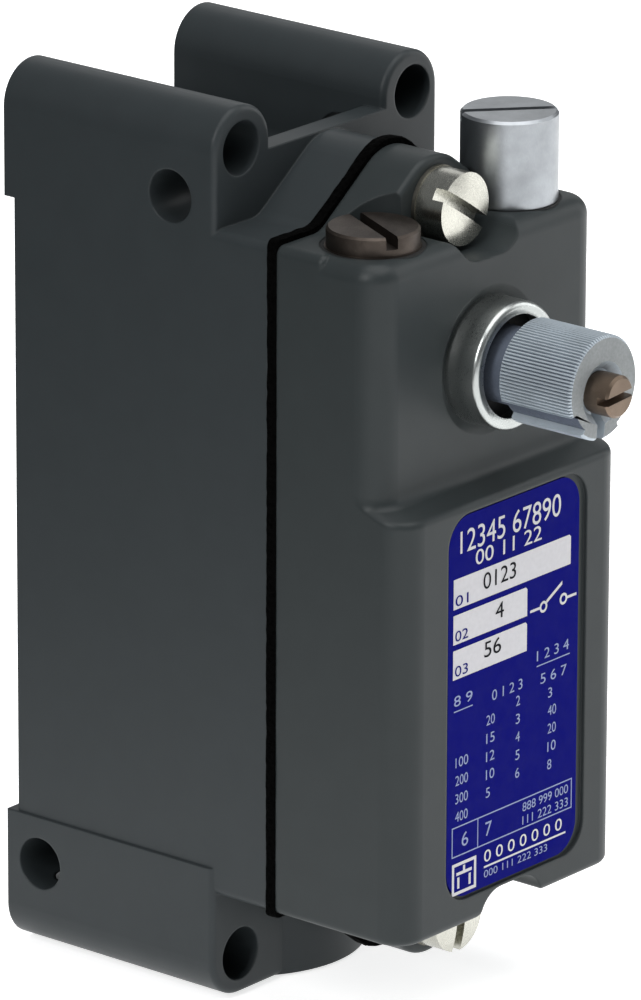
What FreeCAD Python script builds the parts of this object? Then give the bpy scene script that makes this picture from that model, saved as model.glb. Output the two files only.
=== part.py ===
import FreeCAD, Part
import math
import os

# Limit switch with a turning operating shaft, in millimetres.
# X runs to the right as seen from the front, Y runs from the front to the back, and Z is up.
# The origin is the centre of the four through holes, on the mounting plane at the back.

# Driving dimensions of the outside
HALF_WIDTH = 22.2          # body, gasket and cover
LUG_HALF_WIDTH = 22.5      # the lower lugs stand a little proud of the body
SHOULDER_Z = 44.5          # top face of the body, in front of the ears
FLOOR_Z = -44.8            # its bottom face
EAR_Z = 59.7               # top of the ears and bottom of the lugs
VALLEY_Z = 44.0            # floor between the upper ears, behind the web that joins them
WEB_TOP_Z = 53.0
WEB_BACK_Y = -32.0
VALLEY_CORNER_R = 3.0
HOLE_X = 17.0              # the four through holes
HOLE_Z = 54.2
HOLE_R = 3.55
EAR_INNER_X = 11.2
EAR_TOP_R = 5.45
EAR_LOW_Z = 42.4           # the ears' pads end here on the back
LUG_TOP_Z = -41.1
LUG_CORNER_R = 5.5
SIDE_HOLE_R = 3.5
SIDE_HOLES_YZ = ((-27.9, 47.7), (-5.6, -47.5))

# Planes from the back to the front
PAD_Y = 0.0
BACK_Y = -1.7
EAR_FRONT_Y = -35.2
HOUSING_Y = -43.9
COVER_Y = -45.4
BOSS_Y = -52.9             # faces that the cover screws clamp
HEAD_Y = -61.9
LABEL_Y = -66.3
LEDGE_Z = 12.6             # middle of the step between the head and the thicker label part
CORNER_R = 4.0             # upright front corners
EDGE_R = 0.8               # small rounding of cast edges

# Cover screws and the humps that carry them
TOP_SCREW_Z = 46.7
BOTTOM_SCREW_Z = -48.5
HUMP_RISE = 7.9            # from the screw to the point where the hump's flanks would meet
HUMP_R = 7.5
HUMP_SLOPE = math.radians(36)
HUMP_FILLET_R = 4.0
SHOULDER_CORNER_R = 1.2
GASKET_PROUD_X = 0.25      # the squeezed gasket stands out of the joint
GASKET_PROUD_Z = 0.8
SCREW_HEAD_R = 4.75
SCREW_SHANK_R = 2.4
SCREW_END_Y = -35.6
THREAD_BOTTOM_Y = -34.6
SCALLOP_HALF = 4.9         # finger-wide scallops in the front rims give access to the cover screws
SCALLOP_DEPTH = 3.3
SCALLOP_FLARE = 1.6

# Conduit entry on the underside
CONDUIT_Y = -21.75
CONDUIT_BOSS_R = 15.9
CONDUIT_R = 10.3

# Walls and cavities
CAVITY_X = 18.4
CAVITY_Z = 40.3
CAVITY_CORNER_R = 3.0
HOUSING_FLOOR_Y = -4.7
HEAD_CAVITY_Y = -58.5
BUSHING_REAR_Y = -57.6
LABEL_CAVITY_Y = -62.5
LABEL_CAVITY_TOP_Z = 8.8

# Operating shaft
SHAFT_Z = 27.75
SHAFT_R = 6.8
SHAFT_END_Y = -80.1
SERRATION_END_Y = -68.7
JOURNAL_R = 5.0
BUSHING_R = 7.0
REAR_JOURNAL_R = 3.5
RUNNING_GAP = 0.05
KEY_ANGLE = math.radians(5)     # the keyed prongs sit this far round from straight down
PRONG_ANGLES = (math.radians(33), math.radians(63))     # each side channel, from the slit
PRONG_ROOT_R = 5.85
TURN = math.radians(40)         # full turn of the shaft

# Seal cup around the shaft
CUP_R = 8.35
CUP_SEAT_Y = -61.2
CUP_FRONT_Y = -66.4

# Plunger bores and their caps
CAP_X = 13.6
CAP_Y = -53.9
PLUNGER_R = 5.25
PLUNGER_BORE_R = 5.35
CAP_SHANK_R = 6.15
CAP_SHANK_Z = 39.2
CAP_BOSS_R = 7.9
CAP_BOSS_Z = 31.0
SEAL_R = 6.7
SEAL_DEPTH = 0.9
TALL_CAP_TOP_Z = 56.1
LOW_CAP_TOP_Z = 47.0
CAP_ROOF_Z = 53.4

# Drive cam: its working flank is an involute, so the plunger rises in proportion to the turn
CAM_BASE_R = 10.0
CAM_START_ROLL = 0.35
CAM_FRONT_Y = -57.1
CAM_REAR_Y = -51.3
CAM_HUB_R = 7.0
CAM_SWEEP_R = 15.0
PLUNGER_FOOT_Z = SHAFT_Z + CAM_BASE_R * CAM_START_ROLL + 0.1
PLUNGER_FOOT_H = 4.0
PLUNGER_STEM_R = 2.4
PLUNGER_STEM_H = 9.2

# Crank at the back of the shaft, which lifts the contact carrier
PLATE_FRONT_Y = -50.2
PLATE_REAR_Y = -47.7
PLATE_SCREWS_XZ = ((-14.6, 14.0), (14.6, 14.0), (0.0, 37.6))
CRANK_FRONT_Y = -47.5
CRANK_REAR_Y = -45.5
CRANK_R = 6.5
CRANK_PIN_R = 1.5
CRANK_ARM = 4.0
CRANK_PIN_REAR_Y = -38.0

# Contact block
BLOCK_X = 15.5
BLOCK_TOP_Z = 38.0
BASE_BOTTOM_Z = -24.0
BLOCK_COVER_BOTTOM_Z = -6.0
BASE_BACK_Y = -6.0
BASE_FRONT_Y = -16.0
BLOCK_COVER_Y = -25.0
CHANNEL_X = 5.2
CHANNEL_BOTTOM_Z = 1.6
CHANNEL_TOP_Z = 36.0
CARRIER_X = 5.0
CARRIER_FRONT_Y = -19.0
CARRIER_BACK_Y = -9.5
CARRIER_BOTTOM_Z = 2.0
CARRIER_TOP_Z = 26.0
BRIDGE_Y = -14.0
BRIDGE_Z = 10.0
BRIDGE_THICK = 1.0
TIP_X = 10.0
TIP_R = 1.3
TIP_THICK = 0.8
CONTACT_GAP = 0.06
CARRIER_LIFT = 2.74
STRIP_THICK = 0.8
BLOCK_SCREWS_XZ = ((-12.0, 33.5), (12.0, 33.5), (0.0, -2.5))
OUTER_TERMINAL = (11.2, -11.0)
INNER_TERMINAL = (7.0, -19.0)
GROUND_SCREW_XZ = (-13.0, -33.0)

# Nameplate
LABEL_HALF_X = 13.25
LABEL_BOTTOM_Z = -40.7
LABEL_TOP_Z = 10.5
LABEL_CORNER_R = 4.0
POCKET_DEPTH = 0.5
LABEL_THICK = 0.4

EPS = 0.5                  # how far a cutting solid runs past a face


def vec(x, y, z):
    return FreeCAD.Vector(x, y, z)


def block(x0, x1, y0, y1, z0, z1):
    return Part.makeBox(x1 - x0, y1 - y0, z1 - z0, vec(x0, y0, z0))


def cylinder_x(radius, y, z, x0, x1):
    return Part.makeCylinder(radius, x1 - x0, vec(x0, y, z), vec(1, 0, 0))


def cylinder_y(radius, x, z, y0, y1):
    return Part.makeCylinder(radius, y1 - y0, vec(x, y0, z), vec(0, 1, 0))


def cylinder_z(radius, x, y, z0, z1):
    return Part.makeCylinder(radius, z1 - z0, vec(x, y, z0), vec(0, 0, 1))


def ring_y(outer, inner, x, z, y0, y1):
    return cylinder_y(outer, x, z, y0, y1).cut(cylinder_y(inner, x, z, y0 - EPS, y1 + EPS))


def rounded_face(corners, place):
    """A face whose corners (a, b, radius) are turned with tangent arcs; place maps (a, b) to space."""
    count = len(corners)
    points = [vec(a, b, 0) for a, b, _ in corners]
    turns = []
    for i, (_, _, radius) in enumerate(corners):
        here = points[i]
        back = (points[i - 1] - here).normalize()
        ahead = (points[(i + 1) % count] - here).normalize()
        half_angle = back.getAngle(ahead) / 2
        setback = radius / math.tan(half_angle)
        inward = (back + ahead).normalize()
        middle = here + inward * (radius / math.sin(half_angle) - radius)
        turns.append((here + back * setback, middle, here + ahead * setback))
    edges = []
    for i, (start, middle, end) in enumerate(turns):
        if corners[i][2] > 0:
            edges.append(Part.Arc(place(start), place(middle), place(end)).toShape())
        next_start = turns[(i + 1) % count][0]
        if (next_start - end).Length > 1e-6:
            edges.append(Part.LineSegment(place(end), place(next_start)).toShape())
    return Part.Face(Part.Wire(edges))


def prism_y(corners, y0, y1):
    face = rounded_face(corners, lambda p: vec(p.x, y0, p.y))
    return face.extrude(vec(0, y1 - y0, 0))


def rectangle(x0, x1, z0, z1, radius):
    return [(x0, z0, radius), (x1, z0, radius), (x1, z1, radius), (x0, z1, radius)]


def mirrored(shape):
    return shape.mirror(vec(0, 0, 0), vec(1, 0, 0))


def joined(shapes):
    return shapes[0].multiFuse(shapes[1:]).removeSplitter()


def without(shape, tools):
    for tool in tools:
        shape = shape.cut(tool)
    return shape.removeSplitter()


def straight_edges(shape, axis, wanted):
    """Straight edges along one axis whose middle satisfies the wanted test."""
    found = []
    for edge in shape.Edges:
        if not isinstance(edge.Curve, Part.Line):
            continue
        if abs(abs(edge.Curve.Direction.dot(axis)) - 1) < 1e-6 and wanted(edge.CenterOfMass):
            found.append(edge)
    return found


def slot_through(x, y, angle, width, z0, z1):
    """A long bar along a direction in plan, used to saw a screwdriver slot into a top face."""
    bar = block(-20, 20, -width / 2, width / 2, z0, z1)
    bar.rotate(vec(0, 0, 0), vec(0, 0, 1), math.degrees(angle))
    bar.translate(vec(x, y, 0))
    return bar


def front_slot(x, z, angle, width, y0, y1):
    """The same for a screw that faces the front; the angle is measured from +X towards +Z."""
    bar = block(-20, 20, y0, y1, -width / 2, width / 2)
    bar.rotate(vec(0, 0, 0), vec(0, -1, 0), math.degrees(angle))
    bar.translate(vec(x, 0, z))
    return bar


def coil(radius, wire, x, y, z0, z1, turns):
    """A compression spring along Z between two planes."""
    height = z1 - z0 - 2 * wire
    path = Part.makeHelix(height / turns, height, radius)
    section = Part.Wire(Part.makeCircle(wire, vec(radius, 0, 0), vec(0, 1, 0)))
    spring = Part.Wire(path.Edges).makePipeShell([section], True, True)
    spring.translate(vec(x, y, z0 + wire))
    return spring


def hump_corners(screw_z, face_z, proud=0):
    """The three corners of one screw hump on the top or bottom face, from +X to -X."""
    side = 1 if screw_z > 0 else -1
    apex = screw_z + side * (HUMP_RISE + proud / math.cos(HUMP_SLOPE))
    face_z += side * proud
    foot = abs(apex - face_z) / math.tan(HUMP_SLOPE)
    return [(foot, face_z, HUMP_FILLET_R), (0, apex, HUMP_R), (-foot, face_z, HUMP_FILLET_R)]


def body_corners(proud_x=0, proud_z=0):
    """Front outline shared by the housing and the cover, and grown a little for the gasket."""
    top = hump_corners(TOP_SCREW_Z, SHOULDER_Z, proud_z)
    bottom = hump_corners(BOTTOM_SCREW_Z, FLOOR_Z, proud_z)[::-1]
    half = HALF_WIDTH + proud_x
    right_top = (half, SHOULDER_Z + proud_z, SHOULDER_CORNER_R)
    left_top = (-half, SHOULDER_Z + proud_z, SHOULDER_CORNER_R)
    left_bottom = (-half, FLOOR_Z - proud_z, SHOULDER_CORNER_R)
    right_bottom = (half, FLOOR_Z - proud_z, SHOULDER_CORNER_R)
    return [right_top, *top, left_top, left_bottom, *bottom, right_bottom]


def cavity_prism(y0, y1, top_z=CAVITY_Z):
    return prism_y(rectangle(-CAVITY_X, CAVITY_X, -CAVITY_Z, top_z, CAVITY_CORNER_R), y0, y1)


def front_rounded(shape, front_y, wanted):
    """Round the edges of a shape's front face whose middle satisfies the wanted test."""
    rims = [e for e in shape.Edges if e.BoundBox.YMax < front_y + 0.01 and wanted(e.CenterOfMass)]
    return shape.makeFillet(EDGE_R, rims)


def upper_ear():
    ear = prism_y([(EAR_INNER_X, EAR_LOW_Z, 0), (HALF_WIDTH, EAR_LOW_Z, 0),
                   (HALF_WIDTH, EAR_Z, EAR_TOP_R), (EAR_INNER_X, EAR_Z, EAR_TOP_R)],
                  EAR_FRONT_Y, PAD_Y)
    return front_rounded(ear, EAR_FRONT_Y, lambda c: c.z > EAR_LOW_Z + 1)


def lower_lugs():
    lugs = prism_y([(-LUG_HALF_WIDTH, LUG_TOP_Z, 0), (LUG_HALF_WIDTH, LUG_TOP_Z, 0),
                    (LUG_HALF_WIDTH, -EAR_Z, LUG_CORNER_R), (-LUG_HALF_WIDTH, -EAR_Z, LUG_CORNER_R)],
                   EAR_FRONT_Y, PAD_Y)
    return front_rounded(lugs, EAR_FRONT_Y, lambda c: c.z < LUG_TOP_Z - 1)


def valley_cut():
    """Open space between the ears, from the back up to the web."""
    return prism_y([(-EAR_INNER_X, VALLEY_Z, VALLEY_CORNER_R), (EAR_INNER_X, VALLEY_Z, VALLEY_CORNER_R),
                    (EAR_INNER_X, EAR_Z, 0), (-EAR_INNER_X, EAR_Z, 0)], WEB_BACK_Y, PAD_Y + EPS)


def rear_housing():
    core = prism_y(body_corners(), HOUSING_Y, BACK_Y)
    ear = upper_ear()
    between = block(-EAR_INNER_X - 1, EAR_INNER_X + 1, EAR_FRONT_Y, PAD_Y, EAR_LOW_Z, WEB_TOP_Z)
    conduit_boss = cylinder_z(CONDUIT_BOSS_R, 0, CONDUIT_Y, -EAR_Z, FLOOR_Z + 1)
    body = joined([core, ear, mirrored(ear), between, lower_lugs(), conduit_boss])
    body = without(body, [valley_cut(), cavity_prism(HOUSING_Y - EPS, HOUSING_FLOOR_Y)])
    bosses = [cylinder_y(3.4, x, z, BASE_BACK_Y, HOUSING_FLOOR_Y + EPS) for x, z in BLOCK_SCREWS_XZ]
    bosses.append(cylinder_y(4.2, *GROUND_SCREW_XZ, HOUSING_FLOOR_Y - 3.8, HOUSING_FLOOR_Y + EPS))
    body = joined([body, *bosses])
    holes = [cylinder_y(HOLE_R, x, z, EAR_FRONT_Y - EPS, PAD_Y + EPS)
             for x in (-HOLE_X, HOLE_X) for z in (-HOLE_Z, HOLE_Z)]
    holes += [cylinder_x(SIDE_HOLE_R, y, z, -LUG_HALF_WIDTH - EPS, LUG_HALF_WIDTH + EPS)
              for y, z in SIDE_HOLES_YZ]
    holes += [cylinder_y(SCREW_SHANK_R + RUNNING_GAP, 0, z, HOUSING_Y - EPS, THREAD_BOTTOM_Y)
              for z in (TOP_SCREW_Z, BOTTOM_SCREW_Z)]
    holes += [cylinder_y(1.65, x, z, BASE_BACK_Y - EPS, HOUSING_FLOOR_Y + 1.7)
              for x, z in BLOCK_SCREWS_XZ]
    holes.append(cylinder_y(1.75, *GROUND_SCREW_XZ, HOUSING_FLOOR_Y - 4.5, HOUSING_FLOOR_Y + 1.5))
    holes.append(cylinder_z(CONDUIT_R, 0, CONDUIT_Y, -EAR_Z - EPS, -CAVITY_Z + EPS))
    return without(body, holes)


def cover_gasket():
    sheet = prism_y(body_corners(GASKET_PROUD_X, GASKET_PROUD_Z), COVER_Y, HOUSING_Y)
    holes = [cylinder_y(2.9, 0, z, COVER_Y - EPS, HOUSING_Y + EPS)
             for z in (TOP_SCREW_Z, BOTTOM_SCREW_Z)]
    return without(sheet, [cavity_prism(COVER_Y - EPS, HOUSING_Y + EPS), *holes])


def softened(shape, radius, edges):
    return shape.makeFillet(radius, edges) if edges else shape


def cover_plan(front_y, z0, z1):
    """Upright part of the cover: a box with rounded front corners."""
    outline = plan_wire(front_y, z0)
    return Part.Face(outline).extrude(vec(0, 0, z1 - z0))


def plan_wire(front_y, z):
    corners = [(-HALF_WIDTH, COVER_Y, 0), (HALF_WIDTH, COVER_Y, 0),
               (HALF_WIDTH, front_y, CORNER_R), (-HALF_WIDTH, front_y, CORNER_R)]
    return rounded_face(corners, lambda p: vec(p.x, p.y, z)).OuterWire


def ledge_step():
    """Soft step from the head out to the label part: the head's outline carried along an S curve."""
    hollow_r = 1.6
    round_r = 1.0
    tilt = math.radians(72)
    drop, run = math.sin(tilt), 1 - math.cos(tilt)
    flat = (HEAD_Y - LABEL_Y - (hollow_r + round_r) * run) / drop
    height = (hollow_r + round_r) * drop + flat * math.cos(tilt)
    top = vec(0, HEAD_Y, LEDGE_Z + height / 2)
    half = tilt / 2
    hollow_end = top + vec(0, -hollow_r * run, -hollow_r * drop)
    hollow_mid = top + vec(0, -hollow_r * (1 - math.cos(half)), -hollow_r * math.sin(half))
    round_start = hollow_end + vec(0, -flat * drop, -flat * math.cos(tilt))
    low = round_start + vec(0, -round_r * run, -round_r * drop)
    round_mid = low + vec(0, round_r * (1 - math.cos(half)), round_r * math.sin(half))
    steps = [Part.Arc(top, hollow_mid, hollow_end), Part.LineSegment(hollow_end, round_start),
             Part.Arc(round_start, round_mid, low)]
    sweep = Part.BRepOffsetAPI.MakePipeShell(Part.Wire([s.toShape() for s in steps]))
    sweep.setTrihedronMode(top, vec(0, 0, 1))
    sweep.add(plan_wire(HEAD_Y, top.z))
    sweep.build()
    sweep.makeSolid()
    front = sweep.shape()
    rear = block(-HALF_WIDTH, HALF_WIDTH, COVER_Y - 6, COVER_Y, low.z, top.z)
    return front.fuse(rear).common(block(-HALF_WIDTH, HALF_WIDTH, LABEL_Y, COVER_Y, low.z, top.z))


def rim_rounded(shape, z, radius):
    """Round the front and side edges of a face at one height."""
    rims = [e for e in shape.Edges if e.BoundBox.ZMax - z < 0.01 and z - e.BoundBox.ZMin < 0.01
            and e.CenterOfMass.y < COVER_Y - 1]
    return shape.makeFillet(radius, rims)


def scallop(screw_z, face_z):
    """Flared cut through a front rim, over one cover screw."""
    side = 1 if screw_z > 0 else -1
    low = face_z - side * SCALLOP_DEPTH
    high = face_z + side * 6
    wall = SCALLOP_HALF + 1.5
    return prism_y([(-wall - 4, high, 0), (wall + 4, high, 0), (wall + 4, face_z, 0),
                    (wall, face_z, SCALLOP_FLARE), (SCALLOP_HALF, low, 4.2), (-SCALLOP_HALF, low, 4.2),
                    (-wall, face_z, SCALLOP_FLARE), (-wall - 4, face_z, 0)], LABEL_Y - EPS, BOSS_Y)


def cap_bosses():
    return [cylinder_z(CAP_BOSS_R, x, CAP_Y, CAP_BOSS_Z, SHOULDER_Z - 1.8) for x in (-CAP_X, CAP_X)]


def front_cover():
    flange = front_rounded(prism_y(body_corners(), BOSS_Y, COVER_Y), BOSS_Y, lambda c: True)
    ledge = ledge_step()
    head = rim_rounded(cover_plan(HEAD_Y, ledge.BoundBox.ZMax, SHOULDER_Z), SHOULDER_Z, 2.4)
    lower = rim_rounded(cover_plan(LABEL_Y, FLOOR_Z, ledge.BoundBox.ZMin), FLOOR_Z, 1.0)
    shell = joined([head, ledge, lower, flange])
    envelope = shell.copy()
    shell = without(shell, [cavity_prism(HEAD_CAVITY_Y, COVER_Y + EPS),
                            cavity_prism(LABEL_CAVITY_Y, HEAD_CAVITY_Y + EPS, LABEL_CAVITY_TOP_Z)])
    inside = cap_bosses()
    inside.append(cylinder_y(9.6, 0, SHAFT_Z, HEAD_CAVITY_Y - EPS, BUSHING_REAR_Y))
    inside += [cylinder_y(3.0, x, z, HEAD_CAVITY_Y - EPS, PLATE_FRONT_Y) for x, z in PLATE_SCREWS_XZ]
    shell = joined([shell, *[piece.common(envelope) for piece in inside]])
    cuts = []
    for x in (-CAP_X, CAP_X):
        cuts.append(cylinder_z(PLUNGER_BORE_R, x, CAP_Y, CAP_BOSS_Z - EPS, CAP_SHANK_Z + EPS))
        cuts.append(cylinder_z(CAP_SHANK_R, x, CAP_Y, CAP_SHANK_Z, SHOULDER_Z + EPS))
        cuts.append(cylinder_z(SEAL_R, x, CAP_Y, SHOULDER_Z - SEAL_DEPTH, EAR_Z))
    sweep = cylinder_y(CAM_SWEEP_R, 0, SHAFT_Z, CAM_FRONT_Y - 0.6, PLATE_FRONT_Y + 0.3)
    cuts.append(sweep.common(block(2.0, CAVITY_X, HEAD_Y, COVER_Y, 14.5, CAP_SHANK_Z + 0.2)))
    cuts.append(cylinder_y(CAM_HUB_R + 0.6, 0, SHAFT_Z, CAM_FRONT_Y - 0.6, PLATE_FRONT_Y + 0.3))
    cuts.append(cylinder_y(BUSHING_R, 0, SHAFT_Z, HEAD_Y - EPS, HEAD_CAVITY_Y + 2))
    cuts.append(Part.makeCone(CUP_R + 1.4, CUP_R + 0.1, CUP_SEAT_Y - HEAD_Y, vec(0, HEAD_Y, SHAFT_Z),
                              vec(0, 1, 0)))
    for z, face_z in ((TOP_SCREW_Z, SHOULDER_Z), (BOTTOM_SCREW_Z, FLOOR_Z)):
        cuts.append(cylinder_y(2.7, 0, z, BOSS_Y - EPS, COVER_Y + EPS))
        cuts.append(scallop(z, face_z))
    cuts += [cylinder_y(1.25, x, z, PLATE_FRONT_Y - 6, PLATE_FRONT_Y + EPS) for x, z in PLATE_SCREWS_XZ]
    pocket = rectangle(-LABEL_HALF_X - 0.2, LABEL_HALF_X + 1.5, LABEL_BOTTOM_Z - 0.5,
                       LABEL_TOP_Z + 0.2, LABEL_CORNER_R + 0.2)
    cuts.append(prism_y(pocket, LABEL_Y - EPS, LABEL_Y + POCKET_DEPTH))
    return without(shell, cuts)


def nameplate():
    outline = rectangle(-LABEL_HALF_X, LABEL_HALF_X, LABEL_BOTTOM_Z, LABEL_TOP_Z, LABEL_CORNER_R)
    floor_y = LABEL_Y + POCKET_DEPTH
    return prism_y(outline, floor_y - LABEL_THICK, floor_y)


def cover_screw(z, slot_angle):
    """Slotted fillister-head screw with a slightly domed face."""
    head_back = BOSS_Y - 0.5
    head_front = head_back - 4.8
    dome_r = 22.0
    head = cylinder_y(SCREW_HEAD_R, 0, z, head_front, head_back)
    dome = Part.makeSphere(dome_r, vec(0, head_front + dome_r, z))
    head = head.common(dome)
    shank = cylinder_y(SCREW_SHANK_R, 0, z, head_back, SCREW_END_Y)
    slot = front_slot(0, z, slot_angle, 1.6, head_front - EPS, head_front + 2.3)
    return joined([head, shank]).cut(slot)


def cover_screws():
    return Part.makeCompound([cover_screw(TOP_SCREW_Z, math.radians(-33)),
                              cover_screw(BOTTOM_SCREW_Z, math.radians(84))])


def cover_washers():
    return Part.makeCompound([ring_y(4.9, 2.55, 0, z, BOSS_Y - 0.5, BOSS_Y)
                              for z in (TOP_SCREW_Z, BOTTOM_SCREW_Z)])


def cap(x, radius, top_z, chamfer, slot_angle, slot_width, slot_depth, roof_z):
    """Hollow threaded cap: a plain head above the cover and a shank in the bore."""
    head = cylinder_z(radius, x, CAP_Y, SHOULDER_Z, top_z)
    rim = [e for e in head.Edges if abs(e.CenterOfMass.z - top_z) < 0.01]
    head = head.makeChamfer(chamfer, rim)
    shank = cylinder_z(CAP_SHANK_R, x, CAP_Y, CAP_SHANK_Z, SHOULDER_Z)
    bore = cylinder_z(PLUNGER_BORE_R, x, CAP_Y, CAP_SHANK_Z - EPS, roof_z)
    slot = slot_through(x, CAP_Y, slot_angle, slot_width, top_z - slot_depth, top_z + EPS)
    return without(joined([head, shank]), [bore, slot])


def tall_cap():
    return cap(CAP_X, 6.3, TALL_CAP_TOP_Z, 0.35, math.radians(-42), 1.2, 1.3, CAP_ROOF_Z)


def low_cap():
    return cap(-CAP_X, 5.95, LOW_CAP_TOP_Z, 0.3, math.radians(63), 1.6, 1.6, SHOULDER_Z - 1.5)


def cap_seals():
    rings = []
    for x in (-CAP_X, CAP_X):
        outer = cylinder_z(SEAL_R, x, CAP_Y, SHOULDER_Z - SEAL_DEPTH, SHOULDER_Z - 0.1)
        inner = cylinder_z(CAP_SHANK_R, x, CAP_Y, SHOULDER_Z - 2, SHOULDER_Z + 1)
        rings.append(outer.cut(inner))
    return Part.makeCompound(rings)


def seal_cup():
    """Plated cup with a rolled lip that holds the shaft seal on the face of the head."""
    wall = ring_y(CUP_R, CUP_R - 0.8, 0, SHAFT_Z, CUP_FRONT_Y, CUP_SEAT_Y)
    lip = ring_y(CUP_R, 6.7, 0, SHAFT_Z, CUP_FRONT_Y, CUP_FRONT_Y + 0.9)
    cup = joined([wall, lip])
    front = [e for e in cup.Edges if abs(e.CenterOfMass.y - CUP_FRONT_Y) < 0.01]
    return cup.makeFillet(0.42, front)


def shaft_seal():
    return ring_y(CUP_R - 0.8, JOURNAL_R + RUNNING_GAP, 0, SHAFT_Z, CUP_SEAT_Y - 1.9, CUP_SEAT_Y)


def shaft_bushing():
    return ring_y(BUSHING_R, JOURNAL_R + RUNNING_GAP, 0, SHAFT_Z, CUP_SEAT_Y, BUSHING_REAR_Y)


def bearing_plate():
    """Steel plate behind the cam that carries the rear journal."""
    outline = [(-17.8, 10.4, 2), (17.8, 10.4, 2), (17.8, 30.4, 2), (5.6, 30.4, 0.5), (5.6, 40.0, 2),
               (-5.6, 40.0, 2), (-5.6, 30.4, 0.5), (-17.8, 30.4, 2)]
    plate = prism_y(outline, PLATE_FRONT_Y, PLATE_REAR_Y)
    holes = [cylinder_y(1.5, x, z, PLATE_FRONT_Y - EPS, PLATE_REAR_Y + EPS) for x, z in PLATE_SCREWS_XZ]
    journal_r = REAR_JOURNAL_R + RUNNING_GAP
    holes.append(cylinder_y(journal_r, 0, SHAFT_Z, PLATE_FRONT_Y - EPS, PLATE_REAR_Y + EPS))
    return without(plate, holes)


def small_screw(x, z, head_r, head_y, head_h, shank_r, tip_y, slot_width):
    """Slotted screw driven towards the back or the front: the head lies beyond head_y, away from tip_y."""
    towards = 1 if tip_y > head_y else -1
    face_y = head_y - towards * head_h
    head = cylinder_y(head_r, x, z, min(face_y, head_y), max(face_y, head_y))
    shank = cylinder_y(shank_r, x, z, min(head_y, tip_y), max(head_y, tip_y))
    depth = 0.45 * head_h
    slot_y = sorted((face_y - towards * EPS, face_y + towards * depth))
    half = slot_width / 2
    slot = block(x - head_r - 1, x + head_r + 1, slot_y[0], slot_y[1], z - half, z + half)
    return joined([head, shank]).cut(slot)


def plate_screws():
    return Part.makeCompound([small_screw(x, z, 2.3, PLATE_REAR_Y, 1.5, 1.2, PLATE_FRONT_Y - 5, 0.6)
                              for x, z in PLATE_SCREWS_XZ])


def key_cutters():
    """Slit and side channels that make the two keyed prongs at the end of the shaft."""
    front, rear = SHAFT_END_Y - EPS, SERRATION_END_Y
    slit = block(-0.77, 0.77, front, rear, -8, 0)
    ring = ring_y(8, PRONG_ROOT_R, 0, 0, front, rear)
    near, far = (vec(20 * math.sin(a), 0, -20 * math.cos(a)) for a in PRONG_ANGLES)
    wedge = prism_y([(0, 0, 0), (near.x, near.z, 0), (far.x, far.z, 0)], front - 1, rear + 1)
    channel = ring.common(wedge)
    cutters = [slit, channel, mirrored(channel)]
    for cutter in cutters:
        cutter.rotate(vec(0, 0, 0), vec(0, 1, 0), math.degrees(KEY_ANGLE))
        cutter.translate(vec(0, 0, SHAFT_Z))
    return cutters


def expander_centre():
    drop = 0.65
    return -drop * math.sin(KEY_ANGLE), SHAFT_Z - drop * math.cos(KEY_ANGLE)


def operating_shaft():
    front = cylinder_y(SHAFT_R, 0, SHAFT_Z, SHAFT_END_Y, SERRATION_END_Y)
    rims = [e for e in front.Edges if e.CenterOfMass.y < SHAFT_END_Y + 0.01 and e.Length > 10]
    front = front.makeChamfer(0.4, rims)
    collar_y = CAM_REAR_Y + 0.95
    journal = cylinder_y(JOURNAL_R, 0, SHAFT_Z, SERRATION_END_Y, collar_y)
    rear = cylinder_y(REAR_JOURNAL_R, 0, SHAFT_Z, collar_y, CRANK_REAR_Y)
    groove = ring_y(JOURNAL_R + 1, 4.2, 0, SHAFT_Z, CAM_REAR_Y, CAM_REAR_Y + 0.6)
    pin_hole = cylinder_z(1.2, 0, (CAM_FRONT_Y + CAM_REAR_Y) / 2, SHAFT_Z - 8, SHAFT_Z + 8)
    x, z = expander_centre()
    screw_hole = cylinder_y(2.65, x, z, SHAFT_END_Y - EPS, SHAFT_END_Y + 9)
    pocket = Part.makeCone(4.1, 3.0, 1.1, vec(x, SHAFT_END_Y, z), vec(0, 1, 0))
    return without(joined([front, journal, rear]), [groove, pin_hole, screw_hole, pocket, *key_cutters()])


def expander_screw():
    x, z = expander_centre()
    head_front = SHAFT_END_Y - 2.7
    head = cylinder_y(2.75, x, z, head_front, SHAFT_END_Y + 0.7)
    rims = [e for e in head.Edges if e.CenterOfMass.y < head_front + 0.01]
    head = head.makeChamfer(0.35, rims)
    shank = cylinder_y(2.6, x, z, SHAFT_END_Y + 0.7, SHAFT_END_Y + 8.6)
    slot = front_slot(x, z, math.radians(4), 1.0, head_front - EPS, head_front + 1.6)
    return joined([head, shank]).cut(slot)


def involute_points(steps=14):
    """Working flank from the base circle out to the tip, in the plane of the cam."""
    tip_angle = -TURN - 0.01
    points = []
    for i in range(steps + 1):
        angle = CAM_START_ROLL + (tip_angle - CAM_START_ROLL) * i / steps
        roll = CAM_START_ROLL - angle
        x = CAM_BASE_R * (math.cos(angle) - roll * math.sin(angle))
        z = CAM_BASE_R * (math.sin(angle) + roll * math.cos(angle))
        points.append(vec(x, CAM_FRONT_Y, SHAFT_Z + z))
    return points


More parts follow.
